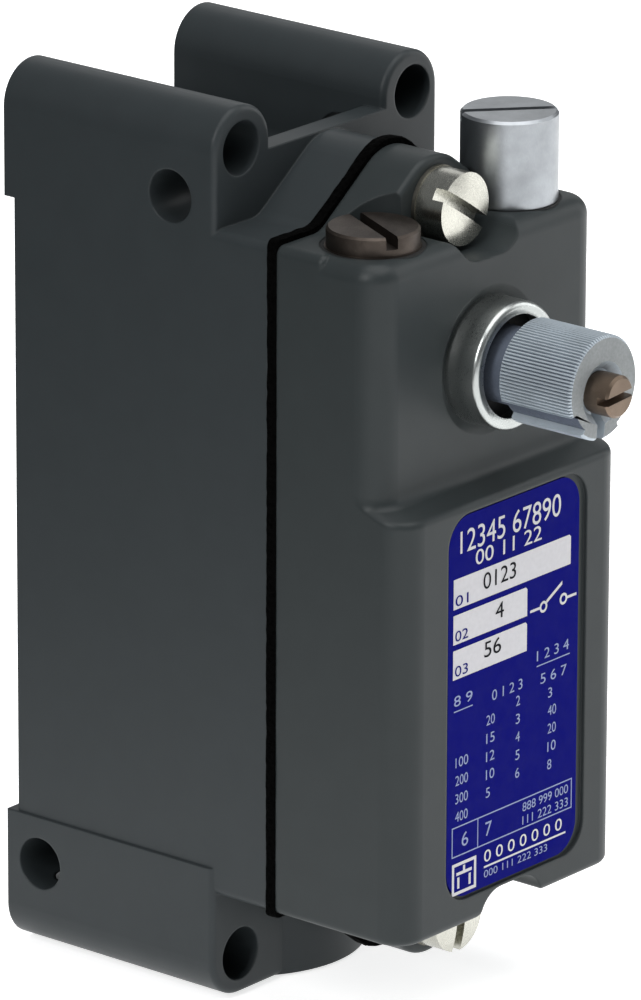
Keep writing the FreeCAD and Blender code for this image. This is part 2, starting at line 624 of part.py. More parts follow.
def drive_cam():
    """Hub with one lobe; the lobe's top flank lifts the flat foot of the return plunger."""
    flank = involute_points()
    curve = Part.BSplineCurve()
    curve.interpolate(flank)
    root_top = vec(0, CAM_FRONT_Y, SHAFT_Z + 4.5)
    root_low = vec(0, CAM_FRONT_Y, SHAFT_Z - 4.5)
    tip_low = vec(flank[-1].x - 0.9, CAM_FRONT_Y, flank[-1].z - 3.4)
    edges = [Part.LineSegment(root_top, flank[0]).toShape(), curve.toShape(),
             Part.LineSegment(flank[-1], tip_low).toShape(),
             Part.LineSegment(tip_low, root_low).toShape(),
             Part.LineSegment(root_low, root_top).toShape()]
    depth = CAM_REAR_Y - CAM_FRONT_Y
    lobe = Part.Face(Part.Wire(edges)).extrude(vec(0, depth, 0))
    hub = cylinder_y(CAM_HUB_R, 0, SHAFT_Z, CAM_FRONT_Y, CAM_REAR_Y)
    bore = cylinder_y(JOURNAL_R, 0, SHAFT_Z, CAM_FRONT_Y - EPS, CAM_REAR_Y + EPS)
    pin_hole = cylinder_z(1.2, 0, (CAM_FRONT_Y + CAM_REAR_Y) / 2, SHAFT_Z - 8, SHAFT_Z + 8)
    return without(joined([hub, lobe]), [bore, pin_hole])


def cam_pin():
    return cylinder_z(1.2, 0, (CAM_FRONT_Y + CAM_REAR_Y) / 2, SHAFT_Z - 6.8, SHAFT_Z + 6.8)


def thrust_washer():
    return ring_y(6.9, JOURNAL_R, 0, SHAFT_Z, CAM_FRONT_Y - 0.4, CAM_FRONT_Y)


def retaining_ring():
    """E-clip in the shaft groove behind the cam."""
    clip = ring_y(6.4, 4.2, 0, SHAFT_Z, CAM_REAR_Y, CAM_REAR_Y + 0.6)
    return clip.cut(block(-8, -3, CAM_REAR_Y - EPS, CAM_REAR_Y + 1, SHAFT_Z - 2.2, SHAFT_Z + 2.2))


def crank_pin_centre():
    return CRANK_ARM * math.cos(TURN / 2), SHAFT_Z - CRANK_ARM * math.sin(TURN / 2)


def crank_disc():
    disc = cylinder_y(CRANK_R, 0, SHAFT_Z, CRANK_FRONT_Y, CRANK_REAR_Y)
    return without(disc, [cylinder_y(REAR_JOURNAL_R, 0, SHAFT_Z, CRANK_FRONT_Y - EPS, CRANK_REAR_Y + EPS)])


def crank_pin():
    x, z = crank_pin_centre()
    return cylinder_y(CRANK_PIN_R, x, z, CRANK_REAR_Y, CRANK_PIN_REAR_Y)


def return_plunger():
    foot = cylinder_z(PLUNGER_R, CAP_X, CAP_Y, PLUNGER_FOOT_Z, PLUNGER_FOOT_Z + PLUNGER_FOOT_H)
    stem_z = PLUNGER_FOOT_Z + PLUNGER_FOOT_H
    stem = cylinder_z(PLUNGER_STEM_R, CAP_X, CAP_Y, stem_z, stem_z + PLUNGER_STEM_H)
    return joined([foot, stem])


def return_spring():
    return coil(3.9, 0.55, CAP_X, CAP_Y, PLUNGER_FOOT_Z + PLUNGER_FOOT_H + 0.02, CAP_ROOF_Z - 0.02, 7)


def through_block(radius, y0, y1):
    return [cylinder_y(radius, x, z, y0, y1) for x, z in BLOCK_SCREWS_XZ]


def contact_pocket(y0, y1):
    return block(-13.2, 13.2, y0, y1, 5.0, 20.0)


def contact_base():
    """Moulded rear half of the contact block."""
    body = block(-BLOCK_X, BLOCK_X, BASE_FRONT_Y, BASE_BACK_Y, BASE_BOTTOM_Z, BLOCK_TOP_Z)
    channel = block(-CHANNEL_X, CHANNEL_X, BASE_FRONT_Y - EPS, CARRIER_BACK_Y + 0.2,
                    CHANNEL_BOTTOM_Z, CHANNEL_TOP_Z)
    cuts = [channel, contact_pocket(BASE_FRONT_Y - EPS, -10.5)]
    cuts += through_block(1.8, BASE_FRONT_Y - EPS, BASE_BACK_Y + EPS)
    for x, z in (OUTER_TERMINAL, INNER_TERMINAL):
        cuts += [cylinder_y(1.45, side * x, z, BASE_FRONT_Y - EPS, BASE_FRONT_Y + 6) for side in (-1, 1)]
    return without(body, cuts)


def contact_cover():
    """Moulded front half, with a window for the carrier's arm."""
    body = block(-BLOCK_X, BLOCK_X, BLOCK_COVER_Y, BASE_FRONT_Y, BLOCK_COVER_BOTTOM_Z, BLOCK_TOP_Z)
    channel = block(-CHANNEL_X, CHANNEL_X, CARRIER_FRONT_Y - 0.3, BASE_FRONT_Y + EPS,
                    CHANNEL_BOTTOM_Z, CHANNEL_TOP_Z)
    window = block(-4.4, 8.4, BLOCK_COVER_Y - EPS, CARRIER_FRONT_Y + 0.4, 19.0, 28.2)
    legs = block(-13.2, 13.2, BASE_FRONT_Y - STRIP_THICK - 0.1, BASE_FRONT_Y + EPS,
                 BLOCK_COVER_BOTTOM_Z - EPS, 6.0)
    bridge_room = contact_pocket(BASE_FRONT_Y - 1.4, BASE_FRONT_Y + EPS)
    cuts = [channel, window, bridge_room, *through_block(1.8, BLOCK_COVER_Y - EPS, BASE_FRONT_Y + EPS)]
    rib = block(-5.4, 5.4, BASE_FRONT_Y - 2, BASE_FRONT_Y + 1, BLOCK_COVER_BOTTOM_Z - 1, 6.5)
    cuts.append(legs.cut(rib))
    return without(body, cuts)


def block_screws():
    return Part.makeCompound([small_screw(x, z, 3.0, BLOCK_COVER_Y, 2.0, 1.6, HOUSING_FLOOR_Y + 1.2, 0.9)
                              for x, z in BLOCK_SCREWS_XZ])


def ground_screw():
    seat = HOUSING_FLOOR_Y - 3.8
    return small_screw(*GROUND_SCREW_XZ, 3.4, seat, 2.2, 1.7, HOUSING_FLOOR_Y + 1.0, 0.9)


def fixed_contact(x0, x1, foot_x0, foot_x1, low_z, foot_z, tip_below):
    """One fixed contact: a flat leg in front of the base, a foot bent back, and a silver tip."""
    front = BASE_FRONT_Y - STRIP_THICK
    leg = block(x0, x1, front, BASE_FRONT_Y, low_z, foot_z + 1.0)
    foot = block(foot_x0, foot_x1, front, BRIDGE_Y + 1.5, foot_z, foot_z + 1.0)
    tip_z = (foot_z - TIP_THICK, foot_z) if tip_below else (foot_z + 1.0, foot_z + 1.0 + TIP_THICK)
    tip = cylinder_z(TIP_R, TIP_X, BRIDGE_Y, *tip_z)
    return joined([leg, foot, tip])


def closed_contacts():
    """Normally closed pair: the bridge rests just above their tips."""
    foot_z = BRIDGE_Z - 2 * TIP_THICK - 1.0 - CONTACT_GAP
    right = fixed_contact(9.4, 13.0, 8.5, 13.0, OUTER_TERMINAL[1] - 3, foot_z, False)
    hole = cylinder_y(1.5, *OUTER_TERMINAL, BASE_FRONT_Y - 2, BASE_FRONT_Y + EPS)
    right = right.cut(hole)
    return Part.makeCompound([right, mirrored(right)])


def open_contacts():
    """Normally open pair: the bridge meets their tips at the end of its lift."""
    foot_z = BRIDGE_Z + BRIDGE_THICK + 2 * TIP_THICK + CARRIER_LIFT + CONTACT_GAP
    right = fixed_contact(5.6, 8.2, 5.6, 11.6, INNER_TERMINAL[1] - 3, foot_z, True)
    terminal_z = INNER_TERMINAL[1]
    pad = block(4.6, 9.2, BASE_FRONT_Y - STRIP_THICK, BASE_FRONT_Y, terminal_z - 3, terminal_z + 3)
    hole = cylinder_y(1.5, *INNER_TERMINAL, BASE_FRONT_Y - 2, BASE_FRONT_Y + EPS)
    right = joined([right, pad]).cut(hole)
    return Part.makeCompound([right, mirrored(right)])


def terminals():
    return [(side * x, z) for x, z in (OUTER_TERMINAL, INNER_TERMINAL) for side in (-1, 1)]


def terminal_saddles():
    """Square wire clamps under the terminal screws."""
    back = BASE_FRONT_Y - STRIP_THICK
    plates = []
    for x, z in terminals():
        plate = block(x - 2.3, x + 2.3, back - 1.0, back, z - 2.6, z + 2.6)
        plates.append(plate.cut(cylinder_y(1.5, x, z, back - 2, back + EPS)))
    return Part.makeCompound(plates)


def terminal_screws():
    seat = BASE_FRONT_Y - STRIP_THICK - 1.0
    return Part.makeCompound([small_screw(x, z, 2.2, seat, 1.8, 1.4, BASE_FRONT_Y + 5.5, 0.7)
                              for x, z in terminals()])


def contact_carrier():
    """Sliding carrier: a body in the channel, and an arm with a yoke that the crank pin lifts."""
    body = block(-CARRIER_X, CARRIER_X, CARRIER_FRONT_Y, CARRIER_BACK_Y, CARRIER_BOTTOM_Z, CARRIER_TOP_Z)
    reach = CARRIER_X + 1
    window = block(-reach, reach, BRIDGE_Y - 2.0, BRIDGE_Y + 2.0, BRIDGE_Z - 3, BRIDGE_Z + 4)
    pin_x, pin_z = crank_pin_centre()
    yoke_front = CRANK_REAR_Y + 2.0
    arm = block(-4.0, 8.0, yoke_front, CARRIER_FRONT_Y, 19.5, 24.4)
    yoke = block(-1.0, 8.0, yoke_front, yoke_front + 3.4, 19.5, pin_z + 4.2)
    gap = CRANK_PIN_R + 0.1
    slot = block(pin_x - 2.1, pin_x + 2.3, yoke_front - EPS, CRANK_PIN_REAR_Y + 2, pin_z - gap, pin_z + gap)
    return without(joined([body, arm, yoke]), [window, slot])


def moving_bridge():
    """Bridge across the two pairs of contacts, with a tip on each side of each end."""
    bar = block(-11.6, 11.6, BRIDGE_Y - 1.5, BRIDGE_Y + 1.5, BRIDGE_Z, BRIDGE_Z + BRIDGE_THICK)
    tips = [cylinder_z(TIP_R, x, BRIDGE_Y, z, z + TIP_THICK)
            for x in (-TIP_X, TIP_X) for z in (BRIDGE_Z - TIP_THICK, BRIDGE_Z + BRIDGE_THICK)]
    return joined([bar, *tips])


def contact_springs():
    """Short springs above and below the bridge, inside the carrier's window."""
    above = coil(1.5, 0.2, 0, BRIDGE_Y, BRIDGE_Z + BRIDGE_THICK + 0.01, BRIDGE_Z + 4 - 0.01, 3)
    below = coil(1.5, 0.2, 0, BRIDGE_Y, BRIDGE_Z - 3 + 0.01, BRIDGE_Z - 0.01, 3)
    return Part.makeCompound([above, below])


def carrier_spring():
    return coil(3.0, 0.35, 0, BRIDGE_Y, CARRIER_TOP_Z + 0.02, CHANNEL_TOP_Z - 0.02, 6)


NODES = (rear_housing, cover_gasket, front_cover, nameplate, cover_screws, cover_washers,
         low_cap, tall_cap, cap_seals, seal_cup, shaft_seal, shaft_bushing, bearing_plate, plate_screws,
         contact_base, contact_cover, block_screws, ground_screw, closed_contacts, open_contacts,
         terminal_saddles, terminal_screws, operating_shaft, expander_screw, drive_cam, cam_pin,
         thrust_washer, retaining_ring, crank_disc, crank_pin, return_plunger, return_spring,
         contact_carrier, moving_bridge, contact_springs, carrier_spring)

os.makedirs("parts", exist_ok=True)
for make in NODES:
    shape = make()
    if not shape.isValid():
        print("not valid:", make.__name__)
    shape.exportStep(os.path.join("parts", make.__name__ + ".step"))
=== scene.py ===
import math

import bmesh
import bpy
from mathutils import Matrix, Vector, noise


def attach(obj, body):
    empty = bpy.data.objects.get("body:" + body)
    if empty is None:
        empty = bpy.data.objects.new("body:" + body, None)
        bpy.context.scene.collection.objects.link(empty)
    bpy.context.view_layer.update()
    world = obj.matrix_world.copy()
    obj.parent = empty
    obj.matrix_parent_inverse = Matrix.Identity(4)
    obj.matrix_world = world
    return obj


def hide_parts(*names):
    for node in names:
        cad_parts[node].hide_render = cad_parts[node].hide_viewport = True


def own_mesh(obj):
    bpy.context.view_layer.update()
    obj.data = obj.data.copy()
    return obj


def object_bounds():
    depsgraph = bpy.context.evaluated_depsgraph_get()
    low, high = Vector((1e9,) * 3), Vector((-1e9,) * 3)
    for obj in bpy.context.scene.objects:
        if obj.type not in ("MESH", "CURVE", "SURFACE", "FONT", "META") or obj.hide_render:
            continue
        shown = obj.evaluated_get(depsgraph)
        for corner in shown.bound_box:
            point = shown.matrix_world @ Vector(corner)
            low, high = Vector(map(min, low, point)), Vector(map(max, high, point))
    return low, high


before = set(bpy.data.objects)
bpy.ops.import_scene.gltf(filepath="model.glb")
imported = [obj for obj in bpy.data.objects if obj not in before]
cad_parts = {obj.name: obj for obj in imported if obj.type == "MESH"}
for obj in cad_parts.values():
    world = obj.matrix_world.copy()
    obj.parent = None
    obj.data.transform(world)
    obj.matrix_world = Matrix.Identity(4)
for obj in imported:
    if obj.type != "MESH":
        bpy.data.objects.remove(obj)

CAD_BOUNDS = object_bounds()
MM = 0.001

# Camera, at the angle of the reference view: degrees, and a long lens set well back
VIEW_AZIMUTH = -50.412
VIEW_ELEVATION = 18.571
VIEW_ROLL = 0.226
VIEW_DISTANCE = 1.19950
VIEW_RIGHT = 0.026411
VIEW_UP = -0.004168
LENS_MM = 329.38

# Sizes of the pieces made here, in millimetres, in the frame of the CAD model
CUP_R = 8.35
CUP_INNER_R = 7.55
CUP_BACK_Y = -61.2
CUP_FRONT_Y = -66.4
CUP_LIP_R = 0.75
CUP_EDGE_R = 0.27

SHAFT_Z = 27.75
SHAFT_R = 6.8
SHAFT_FRONT_Y = -80.1
SERRATION_END_Y = -68.7
SERRATIONS = 96
SERRATION_DEPTH = 0.28
CHANNEL_R = 5.87
CHANNEL_FROM = 33.0
CHANNEL_TO = 63.0
KEY_TURN = 5.0
SLIT_HALF = 0.77
SCREW_BORE_R = 2.65
SCREW_BORE_DROP = 0.65
POCKET_R = 4.1
POCKET_DEPTH = 1.1
END_CHAMFER = 0.35
JOURNAL_R = 5.0
JOURNAL_END_Y = -50.35
RING_GROOVE_R = 4.2
RING_GROOVE_FRONT_Y = -51.3
RING_GROOVE_BACK_Y = -50.7
REAR_JOURNAL_R = 3.5
REAR_END_Y = -45.5

PLATE_FRONT_Y = -66.2
PRINT_THICK = 0.03

GASKET_FRONT_Y = -45.4
GASKET_BACK_Y = -43.9
GASKET_HALF_X = 22.45
GASKET_TOP_Z = 45.3
GASKET_LOW_Z = -45.6
GASKET_CORNER_R = 1.2
CAVITY_HALF_X = 18.4
CAVITY_HALF_Z = 40.3
HUMP_SCREWS_Z = (46.7, -48.5)   # the humps of the outline go round the two cover screws
HUMP_RISE = 7.9
HUMP_PROUD = 0.8
HUMP_SLOPE = math.radians(36)
HUMP_R = 7.5
HUMP_FOOT_R = 4.0

# Number of points along curved shapes
PRONG_POINTS = 7
CHANNEL_POINTS = 9
BORE_POINTS = 25
TURN_POINTS = 30
WIRE_POINTS = 8


# ---------------------------------------------------------------- colours and materials

def linear(value):
    """sRGB channel from 0 to 255, as a linear number."""
    value /= 255
    return value / 12.92 if value <= 0.04045 else ((value + 0.055) / 1.055) ** 2.4


def rgb(r, g, b):
    return (linear(r), linear(g), linear(b), 1.0)


def shade(colour, factor):
    return tuple(min(1.0, factor * c) for c in colour[:3]) + (1.0,)


class Material:
    """One node tree, with short calls that add a node and return its output."""

    def __init__(self, name):
        self.material = bpy.data.materials.new(name)
        self.material.use_nodes = True
        self.tree = self.material.node_tree
        self.shader = self.tree.nodes["Principled BSDF"]
        self.position = self.node("ShaderNodeTexCoord").outputs["Object"]

    def node(self, kind, **settings):
        made = self.tree.nodes.new(kind)
        for key, value in settings.items():
            setattr(made, key, value)
        return made

    def plug(self, value, socket):
        """A number or colour is set on the socket, and an output is linked to it."""
        if isinstance(value, bpy.types.NodeSocket):
            self.tree.links.new(value, socket)
        else:
            socket.default_value = value

    def set(self, **values):
        for key, value in values.items():
            self.plug(value, self.shader.inputs[key.replace("_", " ")])

    def noise(self, scale, detail=3.0, roughness=0.5, vector=None):
        made = self.node("ShaderNodeTexNoise")
        made.inputs["Scale"].default_value = scale
        made.inputs["Detail"].default_value = detail
        made.inputs["Roughness"].default_value = roughness
        self.plug(vector or self.position, made.inputs["Vector"])
        return made.outputs["Fac"]

    def cells(self, scale):
        made = self.node("ShaderNodeTexVoronoi", feature="F1")
        made.inputs["Scale"].default_value = scale
        self.plug(self.position, made.inputs["Vector"])
        return made.outputs["Distance"]

    def stretched(self, scale):
        made = self.node("ShaderNodeMapping")
        made.inputs["Scale"].default_value = scale
        self.plug(self.position, made.inputs["Vector"])
        return made.outputs["Vector"]

    def remap(self, value, from_low, from_high, to_low, to_high):
        made = self.node("ShaderNodeMapRange")
        self.plug(value, made.inputs["Value"])
        for key, number in (("From Min", from_low), ("From Max", from_high),
                            ("To Min", to_low), ("To Max", to_high)):
            made.inputs[key].default_value = number
        return made.outputs["Result"]

    def mix(self, factor, low, high):
        made = self.node("ShaderNodeMix", data_type="RGBA")
        self.plug(factor, made.inputs[0])
        self.plug(low, made.inputs[6])
        self.plug(high, made.inputs[7])
        return made.outputs[2]

    def math(self, operation, a, b):
        made = self.node("ShaderNodeMath", operation=operation)
        self.plug(a, made.inputs[0])
        self.plug(b, made.inputs[1])
        return made.outputs[0]

    def bump(self, *heights, rounding=0.0):
        """Bump nodes in a chain, each (height, strength, distance in metres), over rounded edges."""
        normal = None
        if rounding > 0:
            bevel = self.node("ShaderNodeBevel", samples=6)
            bevel.inputs["Radius"].default_value = rounding
            normal = bevel.outputs["Normal"]
        for height, strength, distance in heights:
            made = self.node("ShaderNodeBump")
            made.inputs["Strength"].default_value = strength
            made.inputs["Distance"].default_value = distance
            self.plug(height, made.inputs["Height"])
            if normal is not None:
                self.plug(normal, made.inputs["Normal"])
            normal = made.outputs["Normal"]
        self.plug(normal, self.shader.inputs["Normal"])


def enamel(name, colour, rough=0.42):
    """Dark grey enamel on a die casting: orange peel, faint mottling, and softly rounded edges."""
    m = Material(name)
    mottle = m.remap(m.noise(300, 5), 0.32, 0.68, 0, 1)
    m.set(Base_Color=m.mix(mottle, shade(colour, 0.97), shade(colour, 1.03)), Specular_IOR_Level=0.24)
    m.set(Roughness=m.remap(m.noise(160, 4), 0.3, 0.7, rough - 0.02, rough + 0.03))
    m.bump((m.noise(900, 3), 0.03, 0.0002), (m.noise(3800, 2), 0.05, 0.0001), rounding=0.0004)
    return m.material


def metal(name, colour, rough, grain=(1, 1, 1), grain_depth=0.06, stain=0.82, pits=0.0, metallic=1.0):
    """Plated or oxidised metal: directional tool marks, cloudy stains and a few small pits."""
    m = Material(name)
    clouds = m.remap(m.noise(170, 5, 0.6), 0.35, 0.65, 0, 1)
    marks = m.noise(2600, 3, vector=m.stretched(grain))
    field = m.mix(clouds, shade(colour, stain), colour)
    m.set(Base_Color=m.mix(m.remap(marks, 0.3, 0.7, 0, 0.35), field, shade(colour, 0.7)), Metallic=metallic)
    m.set(Roughness=m.math("ADD", m.remap(marks, 0.25, 0.75, rough * 0.8, rough * 1.25),
                           m.remap(clouds, 0, 1, 0.05, 0.0)))
    pitted = m.remap(m.cells(900), 0.02, 0.10, 0, 1)
    m.bump((marks, grain_depth, 0.0001), (pitted, pits, 0.0001))
    return m.material


def moulded(name, colour, rough, speck_scale=1400, depth=0.1):
    """Moulded plastic, rubber or foam: fine texture with a little variation in colour."""
    m = Material(name)
    speck = m.noise(speck_scale, 4)
    cloud = m.remap(m.noise(90, 3), 0.35, 0.65, 0, 1)
    m.set(Base_Color=m.mix(m.math("MULTIPLY", cloud, m.remap(speck, 0.3, 0.7, 0.4, 1)),
                           shade(colour, 0.78), shade(colour, 1.08)))
    m.set(Roughness=m.remap(speck, 0.25, 0.75, rough * 0.88, min(1.0, rough * 1.12)))
    m.bump((speck, depth, 0.0002))
    return m.material


def foam(name):
    """Black closed-cell foam, with its cut cells showing."""
    m = Material(name)
    cell = m.cells(1500)
    m.set(Base_Color=m.mix(m.remap(cell, 0.1, 0.6, 0, 1), rgb(0, 0, 0), rgb(3, 3, 3)))
    m.set(Roughness=0.95, Specular_IOR_Level=0.03)
    m.bump((cell, 0.5, 0.0003), (m.noise(2500, 3), 0.3, 0.0002))
    return m.material


def ink(name, colour):
    """Screen-printed ink with slightly uneven cover."""
    m = Material(name)
    cover = m.remap(m.noise(1800, 4), 0.3, 0.7, 0, 1)
    m.set(Base_Color=m.mix(cover, shade(colour, 0.94), colour), Specular_IOR_Level=0.03)
    m.set(Roughness=m.remap(m.noise(600, 2), 0.3, 0.7, 0.45, 0.6))
    m.bump((cover, 0.05, 0.00005))
    return m.material


def paint_nodes(material, *names):
    for name in names:
        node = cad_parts[name]
        node.data.materials.clear()
        node.data.materials.append(material)


def dress_cad_nodes(zinc, spring_steel, label_blue):
    paint_nodes(enamel("housing_enamel", rgb(45, 50, 52)), "rear_housing")
    paint_nodes(enamel("cover_enamel", rgb(43, 48, 49)), "front_cover")
    paint_nodes(label_blue, "nameplate")
    paint_nodes(metal("screw_zinc", rgb(205, 204, 194), 0.24, (1, 12, 1), pits=0.1), "cover_screws")
    paint_nodes(metal("washer_steel", rgb(120, 118, 110), 0.4), "cover_washers", "retaining_ring")
    paint_nodes(metal("cap_zinc", rgb(172, 176, 180), 0.33, (12, 12, 1), stain=0.75, pits=0.2), "tall_cap")
    paint_nodes(metal("cap_bronze", rgb(92, 84, 78), 0.42, (3, 3, 8), stain=0.4, pits=0.3), "low_cap")
    paint_nodes(metal("expander_bronze", rgb(128, 112, 98), 0.38, (4, 1, 4), stain=0.6, pits=0.2),
                "expander_screw")
    rubber = moulded("seal_rubber", rgb(7, 7, 7), 0.7)
    paint_nodes(rubber, "cap_seals", "shaft_seal")
    paint_nodes(metal("bushing_bronze", rgb(176, 142, 92), 0.35, (12, 1, 12)), "shaft_bushing")
    paint_nodes(metal("plate_steel", rgb(160, 160, 158), 0.42, (1, 1, 10)), "bearing_plate")
    paint_nodes(zinc, "plate_screws", "block_screws", "thrust_washer")
    paint_nodes(metal("cam_steel", rgb(110, 110, 112), 0.36, (10, 1, 10)),
                "drive_cam", "cam_pin", "crank_disc", "crank_pin", "return_plunger")
    paint_nodes(spring_steel, "contact_springs")
    paint_nodes(moulded("moulding_black", rgb(26, 26, 27), 0.5), "contact_base", "contact_carrier")
    paint_nodes(moulded("moulding_tan", rgb(150, 118, 78), 0.5), "contact_cover")
    paint_nodes(metal("contact_brass", rgb(190, 158, 84), 0.3, (10, 1, 1)),
                "closed_contacts", "open_contacts", "moving_bridge")
    paint_nodes(metal("terminal_nickel", rgb(186, 184, 176), 0.32), "terminal_saddles", "terminal_screws")
    paint_nodes(moulded("ground_green", rgb(24, 104, 52), 0.35, 2600, 0.05), "ground_screw")


# ---------------------------------------------------------------- mesh helpers

def add_mesh(name, points, faces, material, body, smooth_angle=None):
    """A mesh from points in millimetres; it rides on a body of the frame."""
    mesh = bpy.data.meshes.new(name)
    mesh.from_pydata([Vector(p) * MM for p in points], [], faces)
    return add_piece(name, mesh, material, body, smooth_angle)


def add_piece(name, mesh, material, body, smooth_angle=None):
    bm = bmesh.new()
    bm.from_mesh(mesh)
    bmesh.ops.remove_doubles(bm, verts=bm.verts, dist=1e-7)
    bmesh.ops.recalc_face_normals(bm, faces=bm.faces)
    if smooth_angle is not None:
        for face in bm.faces:
            face.smooth = True
        for edge in bm.edges:
            edge.smooth = len(edge.link_faces) < 2 or edge.calc_face_angle(0) < math.radians(smooth_angle)
    bm.to_mesh(mesh)
    bm.free()
    mesh.materials.append(material)
    piece = bpy.data.objects.new(name, mesh)
    bpy.context.scene.collection.objects.link(piece)
    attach(piece, body)
    return piece


def loft(rings):
    """Points and side faces that join equal closed rings of points one after the other."""
    count = len(rings[0])
    points = [p for ring in rings for p in ring]
    faces = []
    for i in range(len(rings) - 1):
        for j in range(count):
            k = (j + 1) % count
            faces.append((i * count + j, i * count + k, (i + 1) * count + k, (i + 1) * count + j))
    return points, faces


def lathe(name, profile, x, z, material, body, segments=128, smooth_angle=30):
    """A closed ring of revolution about a line along Y; the profile is (radius, y) pairs."""
    rings = []
    for radius, y in profile + profile[:1]:
        rings.append([(x + radius * math.cos(math.tau * i / segments), y,
                       z + radius * math.sin(math.tau * i / segments)) for i in range(segments)])
    points, faces = loft(rings)
    return add_mesh(name, points, faces, material, body, smooth_angle)


def arc_points(cx, cy, radius, start, end, steps):
    """Points on an arc between two angles in degrees."""
    turns = [math.radians(start + (end - start) * i / steps) for i in range(steps + 1)]
    return [(cx + radius * math.cos(t), cy + radius * math.sin(t)) for t in turns]


# ---------------------------------------------------------------- seal cup

def seal_cup(material):
    """Drawn cup whose front lip is rolled inwards, with a shallow turned band round its wall."""
    band_r = CUP_R - 0.02
    profile = [(CUP_INNER_R, CUP_BACK_Y), (CUP_R, CUP_BACK_Y), (CUP_R, CUP_BACK_Y - 0.7),
               (band_r, CUP_BACK_Y - 0.8), (band_r, CUP_BACK_Y - 2.4), (CUP_R, CUP_BACK_Y - 2.5)]
    profile += arc_points(CUP_R - CUP_LIP_R, CUP_FRONT_Y + CUP_LIP_R, CUP_LIP_R, 0, -90, 10)
    profile += arc_points(CUP_INNER_R - 0.6, CUP_FRONT_Y + 0.32, CUP_EDGE_R, -90, -270, 8)
    profile += [(CUP_INNER_R - 0.15, CUP_FRONT_Y + 0.7), (CUP_INNER_R, CUP_FRONT_Y + 1.0)]
    cup = lathe("seal_cup_rolled", profile, 0, SHAFT_Z, material, "housing", 160, 40)
    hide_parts("seal_cup")


# ---------------------------------------------------------------- operating shaft

def shaft_outline(radius, depth):
    """End view of the shaft, as (angle, radius): serrations, two channels and two smooth prongs."""
    slit = math.degrees(math.asin(SLIT_HALF / radius))
    outline = []
    for i in range(PRONG_POINTS):
        outline.append((slit + (CHANNEL_FROM - slit) * i / (PRONG_POINTS - 1), radius))
    channel_start, channel_sweep = CHANNEL_FROM + 0.3, CHANNEL_TO - CHANNEL_FROM - 1.3
    for i in range(CHANNEL_POINTS):
        outline.append((channel_start + channel_sweep * i / (CHANNEL_POINTS - 1), CHANNEL_R))
    mirror = [(360 - a, r) for a, r in reversed(outline)]
    tooth = (0.0, 0.0, 0.0, 0.9, 1.0)
    serrated = 360 - 2 * CHANNEL_TO
    steps = round(SERRATIONS * serrated / 360) * len(tooth)
    for i in range(steps + 1):
        outline.append((CHANNEL_TO + serrated * i / steps, radius - depth * tooth[i % len(tooth)]))
    return outline + mirror


def shaft_ring(radius, depth, y, bore=SCREW_BORE_R):
    """Outline of the split shaft at one plane, from one wall of the slit round to the other."""
    outer = []
    for angle, r in shaft_outline(radius, depth):
        turn = math.radians(angle)
        outer.append((r * math.sin(turn), -r * math.cos(turn)))
    first = math.degrees(math.asin(SLIT_HALF / bore))
    inner = []
    for i in range(BORE_POINTS):
        turn = math.radians(360 - first - (360 - 2 * first) * i / (BORE_POINTS - 1))
        inner.append((bore * math.sin(turn), -SCREW_BORE_DROP - bore * math.cos(turn)))
    key = math.radians(KEY_TURN)
    ring = []
    for x, z in outer + inner:
        across = x * math.cos(key) + z * math.sin(key)
        up = -x * math.sin(key) + z * math.cos(key)
        ring.append((across, y, SHAFT_Z + up))
    return ring


def shaft_caps(ring_size, first, flip):
    """Quads that close the end of the split shaft, between its outline and the bore's."""
    outer = ring_size - BORE_POINTS
    faces = []
    for i in range(outer - 1):
        a = ring_size - 1 - round(i * (BORE_POINTS - 1) / (outer - 1))
        b = ring_size - 1 - round((i + 1) * (BORE_POINTS - 1) / (outer - 1))
        corners = [first + i, first + i + 1, first + b] + ([first + a] if a != b else [])
        faces.append(tuple(corners[::-1] if flip else corners))
    return faces


